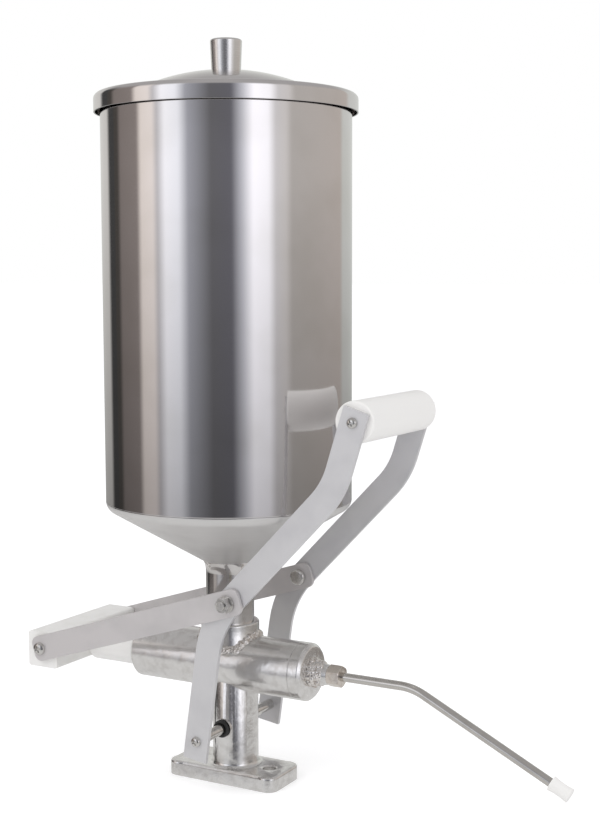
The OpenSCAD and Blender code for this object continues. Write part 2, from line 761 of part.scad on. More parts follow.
module crosspiece() {
    depth = cross_screw_l - strip_t - move_gap + hole_spare;
    color(nylon) difference() {
        translate([link_rear[0], block_far_y, barrel_z + block_lift]) rotate([90, 0, 0])
            linear_extrude(block_far_y - block_near_y) rounded_rectangle(block_l, block_h, block_edge_r);
        cross_cylinder(link_rear, screw_d + 2 * seat_fit, block_near_y - cut, block_near_y + depth);
        cross_cylinder(link_rear, screw_d + 2 * seat_fit, block_far_y - depth, block_far_y + cut);
        translate([block_front_x - piston_spigot_l, 0, barrel_z]) rotate([0, 90, 0])
            cylinder(d = piston_spigot_d + 2 * seat_fit, h = piston_spigot_l + cut);
    }
}

module crosspiece_screws() {
    color(steel) {
        pan_screw(link_rear, near_link_y - move_gap, 1, cross_head_d, cross_screw_l);
        pan_screw(link_rear, far_link_y + strip_t + move_gap, -1, cross_head_d, cross_screw_l);
    }
}

module piston() {
    front_chamfer = 1;
    spigot_gap = 0.5;     // left at the bottom of the crosspiece's hole
    color(nylon) translate([block_front_x, 0, barrel_z]) difference() {
        union() {
            chamfered_bar(piston_d, piston_l, front_chamfer);
            translate([-piston_spigot_l + spigot_gap, 0, 0]) rotate([0, 90, 0])
                cylinder(d = piston_spigot_d, h = piston_spigot_l);
        }
        seal_pair(piston_d + 2 * cut);
    }
}

// Two flat rings near the piston's front: its seals, or the grooves for them
module seal_pair(outer_d) {
    for (i = [0, 1]) translate([piston_l - seal_first - seal_w - i * seal_pitch, 0, 0])
        rotate([0, 90, 0]) difference() {
            cylinder(d = outer_d, h = seal_w);
            translate([0, 0, -cut]) cylinder(d = piston_d - 2 * seal_depth, h = seal_w + 2 * cut);
        }
}

module piston_seals() {
    color(rubber) translate([block_front_x, 0, barrel_z]) seal_pair(piston_d + run_fit);
}

// ---------- nozzle ----------

module nozzle_nut() {
    nut_chamfer = 0.8;
    color(steel) translate([boss_end_x, 0, barrel_z]) rotate([0, 90, 0]) difference() {
        hex_nut(nozzle_nut_w, nozzle_nut_l, nut_chamfer);
        translate([0, 0, -cut]) cylinder(d = thread_d + 2 * seat_fit, h = nozzle_nut_l - nut_lip + cut);
        cylinder(d = tube_d + 2 * seat_fit, h = nozzle_nut_l + cut);
    }
}

// The ring that grips the tube between the thread's end and the nut's lip
module nozzle_ferrule() {
    color(steel) translate([thread_end_x + nut_gap, 0, barrel_z]) rotate([0, 90, 0]) difference() {
        cylinder(d = thread_d - 2 * nut_gap, h = ferrule_l);
        translate([0, 0, -cut]) cylinder(d = tube_d, h = ferrule_l + 2 * cut);
    }
}

// The tube in three lengths, each with its own bore: level leg, bend, sloping leg
module nozzle_tube() {
    color(steel) {
        translate([tube_start_x, 0, barrel_z]) rotate([0, 90, 0])
            linear_extrude(tube_corner[0] - tube_tangent - tube_start_x) tube_ring();
        translate([tube_corner[0] - tube_tangent, 0, barrel_z - tube_bend_r]) rotate([90, 0, 0])
            rotate([0, 0, 90 - tube_turn - bend_lap]) rotate_extrude(angle = tube_turn + 2 * bend_lap)
                translate([tube_bend_r, 0]) tube_ring(bend_draw);
        translate([tube_corner[0], 0, barrel_z]) rotate([0, 90 + tube_turn, 0])
            translate([0, 0, tube_tangent]) linear_extrude(tube_slope_l - tube_tangent) tube_ring();
    }
}

// The tube's section. Its wall is drawn thinner on both sides in the bend
module tube_ring(draw = 0) {
    difference() {
        circle(d = tube_d - 2 * draw);
        circle(d = tube_d - 2 * tube_wall + 2 * draw);
    }
}

module tip_cap() {
    edge_r = 1;
    waist_r = 40;
    fine = 360;
    color(nylon) translate([tube_corner[0], 0, barrel_z]) rotate([0, 90 + tube_turn, 0])
        translate([0, 0, tube_slope_l - tip_grip_l]) difference() {
            rounded_disc(tip_d, tip_l, edge_r);
            translate([0, 0, tip_l / 2]) rotate_extrude() translate([tip_d / 2 + waist_r - tip_waist, 0])
                circle(waist_r, $fn = fine);
            translate([0, 0, -cut]) cylinder(d = tube_d + 2 * run_fit, h = tip_grip_l + cut + move_gap);
        }
}

foot_column();
pump_barrel();
front_cap();
inlet_socket();
hopper_spout();
hopper_cone();
hopper_shell();
lid_cover();
lid_knob();
lid_screw();
near_lever();
far_lever();
grip();
grip_screws();
pivot_shaft();
pivot_screws();
pivot_rings();
link_bolts();
link_washers();
link_nuts();
near_link();
far_link();
crosspiece();
crosspiece_screws();
piston();
piston_seals();
nozzle_nut();
nozzle_ferrule();
nozzle_tube();
tip_cap();
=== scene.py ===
"""Hand-lever churro filler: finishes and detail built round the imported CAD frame, in metres."""

import logging
import math
from dataclasses import KW_ONLY, dataclass, field
from enum import Enum

import bmesh
import bpy
from mathutils import Matrix, Vector


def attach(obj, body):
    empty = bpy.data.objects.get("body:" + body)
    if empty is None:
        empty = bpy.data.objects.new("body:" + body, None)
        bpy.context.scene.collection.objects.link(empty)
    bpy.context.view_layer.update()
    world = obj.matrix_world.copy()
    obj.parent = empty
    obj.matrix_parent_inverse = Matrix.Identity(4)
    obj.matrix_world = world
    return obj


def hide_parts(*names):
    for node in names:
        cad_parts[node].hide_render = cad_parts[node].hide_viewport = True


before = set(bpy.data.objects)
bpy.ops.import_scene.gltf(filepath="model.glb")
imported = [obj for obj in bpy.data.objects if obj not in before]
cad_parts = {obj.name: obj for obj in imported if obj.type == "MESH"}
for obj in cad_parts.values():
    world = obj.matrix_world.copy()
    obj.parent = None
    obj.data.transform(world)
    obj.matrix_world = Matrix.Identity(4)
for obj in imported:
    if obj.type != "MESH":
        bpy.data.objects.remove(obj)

log = logging.getLogger("churro_filler")

Colour = tuple[float, float, float]
Corner = tuple[float, float, float]  # of an outline: radius, height and rounding, in mm
Place = tuple[Vector, Vector]  # where a copy stands, in metres, and where it aims
Socket = bpy.types.NodeSocket

MM = 0.001
UP = (0.0, 0.0, 1.0)
WHITE = (1.0, 1.0, 1.0)
SHARP = 0.0  # the rounding of a corner that has none

GUARD_MM = 0.8  # past a rounding, where a long edge gets one more point to shade straight
LONG_EDGE_MM = 8.0  # what an edge measures past its rounding to count as long
SHARP_TURN = 0.6  # a made mesh's edges that turn by more radians stay sharp
MADE_MERGE = 1e-7  # metres between points of a made mesh that become one
CAD_MERGE = 2e-6  # the same where a turned mesh closes, and in a CAD node's mesh
FLAT_DEG = 0.4  # CAD faces that turn by less are one flat face
SMOOTH_DEG = 40.0  # CAD faces that turn by less shade as one
SOFTEN_DEG = 35.0  # CAD edges that turn by more are softened
SOFTEN_STEPS = 2

FINE_DETAIL, BROAD_DETAIL = 3.0, 2.0  # of a finish's two noises
FINE_RANGE = (0.3, 0.7)  # what of the fine noise spreads the roughness
BROAD_RANGE = (0.3, 0.55)  # what of the broad noise blends the two colours
LEAST_ROUGHNESS = 0.02


@dataclass
class Graph:
    """A node tree with short ways of adding to it."""

    tree: bpy.types.NodeTree

    def node(self, kind: str, settings: dict[str, str] | None = None,
             **wires: object) -> bpy.types.Node:
        """Add a node.

        Args:
            kind: the node's type.
            settings: properties such as operation or data_type.
            wires: the node's inputs, as wire() takes them.

        Returns:
            The new node.
        """
        made = self.tree.nodes.new(kind)
        for key, value in (settings or {}).items():
            setattr(made, key, value)
        self.wire(made, **wires)
        return made

    def wire(self, node: bpy.types.Node, **wires: object) -> None:
        """Link or set a node's inputs.

        Args:
            node: the node.
            wires: input name, with spaces as underscores, or i and a number, to a socket or value.
        """
        for key, value in wires.items():
            number = key[1:]
            target = node.inputs[int(number) if number.isdigit() else key.replace("_", " ")]
            if isinstance(value, Socket):
                self.tree.links.new(value, target)
            else:
                target.default_value = value

    def math(self, operation: str, first: Socket | float, second: Socket | float = 0.0) -> Socket:
        """Add a math node and return its result."""
        made = self.node("ShaderNodeMath", {"operation": operation}, i0=first, i1=second)
        return made.outputs[0]


@dataclass
class ShaderGraph(Graph):
    """The node tree of a material or of the world."""

    def spread(self, value: Socket, source: tuple[float, float],
               goal: tuple[float, float]) -> Socket:
        """Map a value's range onto another one.

        Args:
            value: the socket with the value.
            source: the two ends of its range.
            goal: what these ends become.

        Returns:
            The socket with the mapped value.
        """
        mapped = self.node("ShaderNodeMapRange", Value=value, i1=source[0], i2=source[1],
                           i3=goal[0], i4=goal[1])
        return mapped.outputs["Result"]

    def mix(self, share: Socket, first: Socket | Colour, second: Socket | Colour) -> Socket:
        """Mix two colours.

        Args:
            share: the socket with the second colour's share.
            first: the first colour.
            second: the second colour.

        Returns:
            The socket with the mixed colour.
        """
        ends = [(*end, 1.0) if isinstance(end, tuple) else end for end in (first, second)]
        mixed = self.node("ShaderNodeMix", {"data_type": "RGBA"}, i0=share, i6=ends[0], i7=ends[1])
        return mixed.outputs[2]

    def noise(self, cell_mm: tuple[float, float, float], turn_deg: float, detail: float) -> Socket:
        """Add a noise on Object coordinates whose cell has the given size.

        Args:
            cell_mm: the cell's size along X, Y and Z.
            turn_deg: how far the cells are turned about Y.
            detail: the noise's detail.

        Returns:
            The noise's factor socket.
        """
        place = self.node("ShaderNodeTexCoord").outputs["Object"]
        turned = self.node("ShaderNodeMapping", Vector=place,
                           Rotation=(0.0, math.radians(turn_deg), 0.0))
        sized = self.node("ShaderNodeVectorMath", {"operation": "MULTIPLY"},
                          i0=turned.outputs["Vector"], i1=[1.0 / (size * MM) for size in cell_mm])
        noise = self.node("ShaderNodeTexNoise", Vector=sized.outputs["Vector"], Scale=1.0,
                          Detail=detail)
        return noise.outputs["Fac"]

    def bump(self, height: Socket, depth_mm: float, before: Socket | None = None) -> Socket:
        """Add a bump, on top of another one if there is one.

        Args:
            height: the socket with its height.
            depth_mm: its depth.
            before: the other bump's normal socket.

        Returns:
            The bump's normal socket.
        """
        under = {"Normal": before} if before else {}
        made = self.node("ShaderNodeBump", Distance=depth_mm * MM, Height=height, **under)
        return made.outputs["Normal"]


class Grain(Enum):
    """How a finish's fine grain lies, as the noise's cell in mm along X, Y and Z."""

    EVEN = (0.6, 0.6, 0.6)
    RINGS = (60.0, 60.0, 0.25)
    ALONG_X = (30.0, 0.35, 0.35)
    ALONG_Y = (0.35, 30.0, 0.35)
    ALONG_Z = (0.35, 0.35, 30.0)


@dataclass(frozen=True)
class Finish:
    """One procedural surface finish.

    Attributes say how it looks: base colour and the shade of its lumps, how the fine grain lies,
    metal share, roughness and its spread, the grain's depth, the lumps' size and depth, and how
    far both are turned about Y.
    """

    name: str
    slot: str
    colour: Colour
    shade: Colour
    grain: Grain = Grain.EVEN
    _: KW_ONLY
    metallic: float = 1.0
    roughness: float
    spread: float
    depth_mm: float
    lump_mm: float
    lump_depth_mm: float = 0.05
    turn_deg: float = 0.0

    def material(self) -> bpy.types.Material:
        """Build the node material, or return it where it has been built before.

        Returns:
            The finished material.
        """
        ready = bpy.data.materials.get(self.name)
        if ready:
            return ready
        made = bpy.data.materials.new(self.name)
        made.use_nodes = True
        graph = ShaderGraph(made.node_tree)
        fine = graph.noise(self.grain.value, self.turn_deg, FINE_DETAIL)
        broad = graph.noise((self.lump_mm,) * 3, self.turn_deg, BROAD_DETAIL)
        colour = graph.mix(graph.spread(broad, BROAD_RANGE, (0.0, 1.0)), self.shade, self.colour)
        least = max(self.roughness - self.spread, LEAST_ROUGHNESS)
        rough = graph.spread(fine, FINE_RANGE, (least, self.roughness + self.spread))
        lumps = graph.bump(broad, self.lump_depth_mm)
        graph.wire(made.node_tree.nodes["Principled BSDF"], Metallic=self.metallic,
                   Base_Color=colour, Roughness=rough,
                   Normal=graph.bump(fine, self.depth_mm, lumps))
        return made


MIRROR = Finish(
    "mirror_polished_steel", "mirror_steel", (0.74, 0.72, 0.72), (0.69, 0.67, 0.66), Grain.RINGS,
    roughness=0.085, spread=0.02, depth_mm=0.0003, lump_mm=45.0, lump_depth_mm=0.012)
NECK = Finish(
    "drawn_spout_steel", "mirror_steel", (0.70, 0.68, 0.67), (0.62, 0.60, 0.58), Grain.ALONG_Z,
    roughness=0.12, spread=0.04, depth_mm=0.002, lump_mm=14.0, lump_depth_mm=0.06)
INSIDE = Finish(
    "satin_hopper_inside", "mirror_steel", (0.68, 0.67, 0.66), (0.62, 0.61, 0.60), Grain.RINGS,
    metallic=0.55, roughness=0.4, spread=0.06, depth_mm=0.003, lump_mm=30.0, lump_depth_mm=0.02)
CAST = Finish(
    "polished_cast_aluminium", "cast_aluminium", (0.82, 0.81, 0.80), (0.72, 0.705, 0.69),
    roughness=0.21, spread=0.07, depth_mm=0.012, lump_mm=7.5, lump_depth_mm=0.24)
BRAZE = Finish(
    "brazing_on_aluminium", "cast_aluminium", (0.86, 0.83, 0.80), (0.56, 0.51, 0.47),
    roughness=0.2, spread=0.08, depth_mm=0.02, lump_mm=3.0, lump_depth_mm=0.4)
BARS = Finish(
    "satin_link_bars", "flat_bar", (0.67, 0.645, 0.645), (0.61, 0.59, 0.59), Grain.ALONG_X,
    metallic=0.5, roughness=0.4, spread=0.07, depth_mm=0.006, lump_mm=24.0, turn_deg=17.6)
PLATES = Finish(
    "satin_lever_plates", "flat_bar", (0.70, 0.695, 0.705), (0.64, 0.635, 0.65), Grain.ALONG_X,
    metallic=0.5, roughness=0.38, spread=0.07, depth_mm=0.006, lump_mm=24.0, turn_deg=46.0)
BRIGHT = Finish(
    "bright_plated_steel", "bolt_steel", (0.72, 0.71, 0.69), (0.58, 0.57, 0.55),
    roughness=0.16, spread=0.05, depth_mm=0.002, lump_mm=3.0, lump_depth_mm=0.03)
TUBE = Finish(
    "drawn_nozzle_tube", "tube_steel", (0.64, 0.62, 0.59), (0.58, 0.56, 0.53),
    roughness=0.15, spread=0.03, depth_mm=0.001, lump_mm=9.0, lump_depth_mm=0.01)
KNOB = Finish(
    "satin_knob_steel", "mirror_steel", (0.80, 0.79, 0.78), (0.74, 0.73, 0.72), Grain.RINGS,
    roughness=0.24, spread=0.05, depth_mm=0.002, lump_mm=20.0, lump_depth_mm=0.01)
FITTING = Finish(
    "warm_nozzle_nut_steel", "bolt_steel", (0.76, 0.70, 0.64), (0.64, 0.58, 0.53),
    roughness=0.2, spread=0.05, depth_mm=0.001, lump_mm=4.0, lump_depth_mm=0.03)
NYLON = Finish(
    "white_nylon", "white_nylon", (0.87, 0.86, 0.84), (0.83, 0.82, 0.79), Grain.ALONG_Y,
    metallic=0.0, roughness=0.42, spread=0.06, depth_mm=0.01, lump_mm=18.0, lump_depth_mm=0.03)
NYLON_BLOCK = Finish(
    "sawn_white_nylon", "white_nylon", (0.88, 0.87, 0.85), (0.84, 0.83, 0.80), Grain.ALONG_Y,
    metallic=0.0, roughness=0.5, spread=0.06, depth_mm=0.03, lump_mm=15.0, lump_depth_mm=0.06)
RUBBER = Finish(
    "black_ring_rubber", "black_rubber", (0.02, 0.02, 0.02), (0.03, 0.03, 0.03),
    metallic=0.0, roughness=0.5, spread=0.08, depth_mm=0.01, lump_mm=2.0, lump_depth_mm=0.02)


def stand(name: str, data: bpy.types.ID) -> bpy.types.Object:
    """Put a new object into the scene.

    Args:
        name: the object's name.
        data: its mesh, lamp or camera.

    Returns:
        The object, at the origin.
    """
    made = bpy.data.objects.new(name, data)
    bpy.context.scene.collection.objects.link(made)
    return made


def settle(carrier: bpy.types.Object, name: str) -> bpy.types.Mesh:
    """Take the mesh that an object's modifiers make, and remove them and the object.

    Args:
        carrier: the object, which is there for this alone.
        name: the new mesh's name.

    Returns:
        The plain mesh.
    """
    settled = carrier.evaluated_get(bpy.context.evaluated_depsgraph_get())
    made = bpy.data.meshes.new_from_object(settled)
    carrier.modifiers.clear()
    bpy.data.objects.remove(carrier)
    made.name = name
    return made


def keep(work: bmesh.types.BMesh, name: str) -> bpy.types.Mesh:
    """Turn a finished bmesh into a new mesh.

    Args:
        work: the bmesh, which is freed.
        name: the mesh's name.

    Returns:
        The mesh.
    """
    made = bpy.data.meshes.new(name)
    work.to_mesh(made)
    work.free()
    return made


@dataclass
class GeometryGraph(Graph):
    """A geometry node tree under construction, with named inputs."""

    inputs: dict[str, str] = field(default_factory=dict)
    source: bpy.types.NodeOutputs = field(init=False)
    target: bpy.types.NodeInputs = field(init=False)

    @classmethod
    def start(cls, name: str, **kinds: str) -> "GeometryGraph":
        """Start a tree that takes and gives a geometry.

        Args:
            name: the tree's name.
            kinds: the name of each further input and the end of its socket type.

        Returns:
            The tree, still without nodes between its input and its output.
        """
        made = cls(bpy.data.node_groups.new(name, "GeometryNodeTree"))
        for label, kind in {"Geometry": "Geometry", **kinds}.items():
            socket = made.tree.interface.new_socket(label, in_out="INPUT",
                                                    socket_type="NodeSocket" + kind)
            made.inputs[label] = socket.identifier
        made.tree.interface.new_socket("Geometry", in_out="OUTPUT",
                                       socket_type="NodeSocketGeometry")
        made.source = made.tree.nodes.new("NodeGroupInput").outputs
        made.target = made.tree.nodes.new("NodeGroupOutput").inputs
        return made

    def finish_with(self, geometry: Socket) -> None:
        """Shade a geometry smooth but for its sharp edges, realize it and set its material.

        Args:
            geometry: the socket with the geometry.
        """
        soft = self.node("GeometryNodeSetShadeSmooth", {"domain": "FACE"}, Geometry=geometry)
        angle = self.node("GeometryNodeInputMeshEdgeAngle").outputs["Unsigned Angle"]
        sharp = self.node("FunctionNodeCompare", {"data_type": "FLOAT"}, A=angle, B=SHARP_TURN)
        edged = self.node("GeometryNodeSetShadeSmooth", {"domain": "EDGE"},
                          Selection=sharp.outputs[0], Geometry=soft.outputs[0], Shade_Smooth=False)
        real = self.node("GeometryNodeRealizeInstances", Geometry=edged.outputs[0])
        last = self.node("GeometryNodeSetMaterial", Geometry=real.outputs[0],
                         Material=self.source["Material"])
        self.tree.links.new(last.outputs[0], self.target[0])

    def run(self, name: str, start: bpy.types.Mesh, **values: object) -> bpy.types.Mesh:
        """Run the tree on a mesh.

        Args:
            name: the new mesh's name.
            start: the mesh that the tree starts from.
            values: one value for each named input.

        Returns:
            The plain mesh that the tree makes, with its normals outwards.
        """
        carrier = stand(name + "_carrier", start)
        live = carrier.modifiers.new(self.tree.name, "NODES")
        live.node_group = self.tree
        for key, value in values.items():
            live[self.inputs[key]] = value
        made = settle(carrier, name)
        work = bmesh.new()
        work.from_mesh(made)
        bmesh.ops.remove_doubles(work, verts=work.verts, dist=MADE_MERGE)
        bmesh.ops.recalc_face_normals(work, faces=work.faces)
        work.to_mesh(made)
        work.free()
        return made


def turning_graph() -> GeometryGraph:
    """Build the tree that turns a profile in the XZ plane about Z into a closed solid.

    Returns:
        The tree, with the inputs Steps and Material.
    """
    graph = GeometryGraph.start("turned_piece", Steps="Int", Material="Material")
    profile, steps = graph.source["Geometry"], graph.source["Steps"]
    count = graph.node("GeometryNodeAttributeDomainSize", Geometry=profile).outputs["Point Count"]
    grid = graph.node("GeometryNodeMeshGrid", Vertices_X=graph.math("ADD", steps, 1.0),
                      Vertices_Y=count)
    index = graph.node("GeometryNodeInputIndex").outputs[0]
    column = graph.math("FLOOR", graph.math("DIVIDE", index, count))
    row = graph.math("SUBTRACT", index, graph.math("MULTIPLY", column, count))
    spot = graph.node("GeometryNodeInputPosition").outputs[0]
    sample = graph.node("GeometryNodeSampleIndex", {"data_type": "FLOAT_VECTOR"},
                        Geometry=profile, Value=spot, Index=graph.math("ROUND", row))
    angle = graph.math("MULTIPLY", graph.math("DIVIDE", column, steps), math.tau)
    turned = graph.node("ShaderNodeVectorRotate", {"rotation_type": "Z_AXIS"},
                        Vector=sample.outputs[0], Angle=angle)
    moved = graph.node("GeometryNodeSetPosition", Geometry=grid.outputs["Mesh"],
                       Position=turned.outputs[0])
    closed = graph.node("GeometryNodeMergeByDistance", Geometry=moved.outputs[0],
                        Distance=CAD_MERGE)
    graph.finish_with(closed.outputs[0])
    return graph


def placing_graph() -> GeometryGraph:
    """Build the tree that sets a copy of one mesh object on every point, aimed along "aim".

    Returns:
        The tree, with the inputs Pattern, Spread, Seed and Material.
    """
    graph = GeometryGraph.start("placed_copies", Pattern="Object", Spread="Float", Seed="Int",
                                Material="Material")
    pattern = graph.node("GeometryNodeObjectInfo", Object=graph.source["Pattern"])
    aim = graph.node("GeometryNodeInputNamedAttribute", {"data_type": "FLOAT_VECTOR"}, Name="aim")
    turn = graph.node("FunctionNodeAlignRotationToVector", {"axis": "Z"}, Vector=aim.outputs[0])
    spread = graph.source["Spread"]
    size = graph.node("FunctionNodeRandomValue", {"data_type": "FLOAT"},
                      i2=graph.math("SUBTRACT", 1.0, spread), i3=graph.math("ADD", 1.0, spread),
                      Seed=graph.source["Seed"])
    copies = graph.node("GeometryNodeInstanceOnPoints", Points=graph.source["Geometry"],
                        Instance=pattern.outputs["Geometry"], Rotation=turn.outputs[0],
                        Scale=size.outputs[1])
    graph.finish_with(copies.outputs[0])
    return graph


def rounded(corners: list[Corner], arc_steps: int) -> list[Vector]:
    """Round the corners of a closed outline.

    Args:
        corners: the outline's corners.
        arc_steps: points on each rounded corner, less one.

    Returns:
        The outline's points in the XZ plane in metres, closed onto its first point.
    """
    spots = [Vector((r, 0.0, z)) for r, z, _ in corners]
    points: list[Vector] = []
    for index, here in enumerate(spots):
        before, after = spots[index - 1], spots[(index + 1) % len(spots)]
        fillet = corners[index][2]
        if fillet <= SHARP:
            points.append(here)
            continue
        back, ahead = (before - here).normalized(), (after - here).normalized()
        half = back.angle(ahead) / 2.0
        reach = fillet / math.tan(half)
        start, end = here + back * reach, here + ahead * reach
        centre = here + (back + ahead).normalized() * (fillet / math.sin(half))
        if (before - here).length > reach + LONG_EDGE_MM:
            points.append(start + back * GUARD_MM)
        for step in range(arc_steps + 1):
            share = step / arc_steps
            spoke = (start - centre).normalized().slerp((end - centre).normalized(), share)
            points.append(centre + spoke * fillet)
        if (after - here).length > reach + LONG_EDGE_MM:
            points.append(end + ahead * GUARD_MM)
    points.append(points[0].copy())
    return [point * MM for point in points]


def line_mesh(name: str, points: list[Vector]) -> bpy.types.Mesh:
    """Make a mesh of points in a chain.

    Args:
        name: the mesh's name.
        points: its points.

    Returns:
        The mesh.
    """
    made = bpy.data.meshes.new(name)
    made.from_pydata([tuple(p) for p in points], [(i, i + 1) for i in range(len(points) - 1)], [])
    return made


def axis_place(origin_mm: tuple[float, float, float], aim: tuple[float, float, float]) -> Matrix:
    """Give the matrix that carries the Z axis to an aim at a place in mm."""
    turn = Vector(aim).to_track_quat("Z", "Y").to_matrix().to_4x4()
    return Matrix.Translation(Vector(origin_mm) * MM) @ turn


def join_loops(work: bmesh.types.BMesh, low: list[bmesh.types.BMVert],
               high: list[bmesh.types.BMVert]) -> None:
    """Join two closed loops of as many points by a band of faces.

    Args:
        work: the mesh that the points are in.
        low: the lower loop.
        high: the upper loop.
    """
    for i, corner in enumerate(low):
        after = (i + 1) % len(low)
        work.faces.new((corner, low[after], high[after], high[i]))


@dataclass
class CrossHead:
    """A screw's pan head with a cross recess, in mm; shares are of its radius and its height."""

    radius: float
    height: float = 2.8
    sunk: float = 0.4
    side_h: float = 0.5
    dome_shares: tuple[tuple[float, float], ...] = ((0.93, 0.58), (0.75, 0.82), (0.5, 0.95))
    steps: int = 48
    arm_reach_share: float = 0.56
    arm_half_share: float = 0.13
    recess: float = 1.3
    recess_turn_rad: float = 0.4

    def mesh(self) -> bpy.types.Mesh:
        """Model the head.

        Returns:
            The mesh, its underside at the origin and aimed along Z.
        """
        carrier = stand("cross_carrier", self._blank())
        tool = stand("cross_tool", self._cutter())
        cut = carrier.modifiers.new("recess", "BOOLEAN")
        cut.operation, cut.solver, cut.object = "DIFFERENCE", "EXACT", tool
        made = settle(carrier, "cross_head")
        bpy.data.objects.remove(tool)
        return made

    def _blank(self) -> bpy.types.Mesh:
        """Model the head without its recess.

        Returns:
            The closed mesh.
        """
        rings = [(self.radius, -self.sunk), (self.radius, self.side_h)]
        rings += [(self.radius * r, z * self.height) for r, z in self.dome_shares]
        turns = [math.tau * i / self.steps for i in range(self.steps)]
        work = bmesh.new()
        loops = [[work.verts.new((r * MM * math.cos(turn), r * MM * math.sin(turn), z * MM))
                  for turn in turns] for r, z in rings]
        summit = work.verts.new((0.0, 0.0, self.height * MM))
        for low, high in zip(loops, loops[1:]):
            join_loops(work, low, high)
        last = loops[-1]
        for i in range(self.steps):
            work.faces.new((last[i], last[(i + 1) % self.steps], summit))
        work.faces.new(list(reversed(loops[0])))
        return keep(work, "cross_head")

    def _cutter(self) -> bpy.types.Mesh:
        """Model the recess as one prism with the outline of a cross.

        Returns:
            The closed mesh.
        """
        reach, half = self.radius * self.arm_reach_share, self.radius * self.arm_half_share
        outline: list[Vector] = []
        for quarter in range(4):
            turn = Matrix.Rotation(quarter * math.pi / 2 + self.recess_turn_rad, 2)
            outline += [turn @ Vector(spot)
                        for spot in ((reach, -half), (reach, half), (half, half))]
        work = bmesh.new()
        low, high = ([work.verts.new((p.x * MM, p.y * MM, z * MM)) for p in outline]
                     for z in (self.height - self.recess, self.height + self.recess))
        work.faces.new(list(reversed(low)))
        work.faces.new(high)
        join_loops(work, low, high)
        return keep(work, "cross_cutter")


@dataclass(frozen=True)
class Dressed:
    """A CAD node that is shown with a finish, on a body, with edges softened to a width in mm."""

    node: str
    finish: Finish
    edge_mm: float
    body: str


def show(mesh: bpy.types.Mesh, finish: Finish, body: str,
         nodes: tuple[str, ...] = ()) -> bpy.types.Object:
    """Show a mesh as a piece.

    Args:
        mesh: the finished mesh, in the part's frame.
        finish: its finish.
        body: the CAD body that it rides on.
        nodes: the CAD nodes that it stands for.

    Returns:
        The piece's object.
    """
    piece = stand(mesh.name, mesh)
    mesh.materials.clear()
    mesh.materials.append(finish.material())
    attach(piece, body)
    if nodes:
        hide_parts(*nodes)
    log.info("%s rides on %s", mesh.name, body)
    return piece


@dataclass
class Workshop:
    """The two node trees and the ways of making a piece that the sub-assemblies share."""

    turning: GeometryGraph = field(default_factory=turning_graph)
    placing: GeometryGraph = field(default_factory=placing_graph)

    def turned(self, name: str, corners: list[Corner], finish: Finish, place: Matrix, steps: int,
               body: str, nodes: tuple[str, ...] = (), arc_steps: int = 6) -> bpy.types.Object:
        """Turn an outline into a solid and show it.

        Args:
            name: the piece's name.
            corners: the outline's corners.
            finish: the finish.
            place: where the piece's own Z axis lies in the part's frame.
            steps: faces round the axis.
            body: the body that it rides on.
            nodes: the CAD nodes that it stands for.
            arc_steps: faces over each rounded corner.

        Returns:
            The piece's object.
        """
        start = line_mesh(name + "_outline", rounded(corners, arc_steps))
        made = self.turning.run(name, start, Steps=steps, Material=finish.material())
        made.transform(place)
        return show(made, finish, body, nodes)

    def dress(self, pieces: tuple[Dressed, ...]) -> None:
        """Show copies of CAD nodes with points merged, edges softened and rounds smooth.

        Args:
            pieces: the nodes and how each is shown.
        """
        for piece in pieces:
            work = bmesh.new()
            work.from_mesh(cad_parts[piece.node].data)
            bmesh.ops.remove_doubles(work, verts=work.verts, dist=CAD_MERGE)
            bmesh.ops.dissolve_limit(work, angle_limit=math.radians(FLAT_DEG), verts=work.verts,
                                     edges=work.edges, delimit=set())
            clean = keep(work, piece.node + "_clean")
            clean.shade_smooth()
            clean.set_sharp_from_angle(angle=math.radians(SMOOTH_DEG))
            carrier = stand(piece.node + "_carrier", clean)
            soften = carrier.modifiers.new("soften", "BEVEL")
            soften.width = piece.edge_mm * MM
            soften.segments = SOFTEN_STEPS
            soften.limit_method = "ANGLE"
            soften.angle_limit = math.radians(SOFTEN_DEG)
            soften.harden_normals = True
            made = settle(carrier, piece.node + "_finished")
            show(made, piece.finish, piece.body, (piece.node,))

    def copies(self, name: str, pattern: bpy.types.Mesh, places: list[Place], finish: Finish,
               body: str, nodes: tuple[str, ...] = (), spread: float = 0.0, seed: int = 0) -> None:
        """Set copies of a mesh on places and show them as one piece.

        Args:
            name: the piece's name.
            pattern: the mesh that repeats, with its own Z as its aim.
            places: each copy's place and aim.
            finish: the finish.
            body: the body that they ride on.
            nodes: the CAD nodes that they stand for.
            spread: how far the copies' sizes vary, as a share.
            seed: the seed of that variation.
        """
        points = bpy.data.meshes.new(name + "_places")
        points.from_pydata([tuple(place) for place, _ in places], [], [])
        aims = points.attributes.new("aim", "FLOAT_VECTOR", "POINT")
        for entry, (_, aim) in zip(aims.data, places):
            entry.vector = aim
        holder = stand(name + "_pattern", pattern)
        made = self.placing.run(name, points, Pattern=holder, Spread=spread, Seed=seed,
                                Material=finish.material())
        bpy.data.objects.remove(holder)
        show(made, finish, body, nodes)

    def screw_pair(self, name: str, node: str, head_r: float, spot: tuple[float, float],
                   seats: tuple[float, float], body: str) -> None:
        """Show the two heads of a screwed joint that face outwards on one axis across the part.

        Args:
            name: the piece's name.
            node: the CAD node with the screws.
            head_r: the heads' radius in mm.
            spot: X and Z of the axis in mm.
            seats: Y of the near and of the far head's seat in mm.
            body: the body that they ride on.
        """
        places = [(Vector((spot[0], y, spot[1])) * MM, Vector((0.0, side, 0.0)))
                  for y, side in zip(seats, (-1.0, 1.0))]
        self.copies(name, CrossHead(head_r).mesh(), places, BRIGHT, body, (node,))


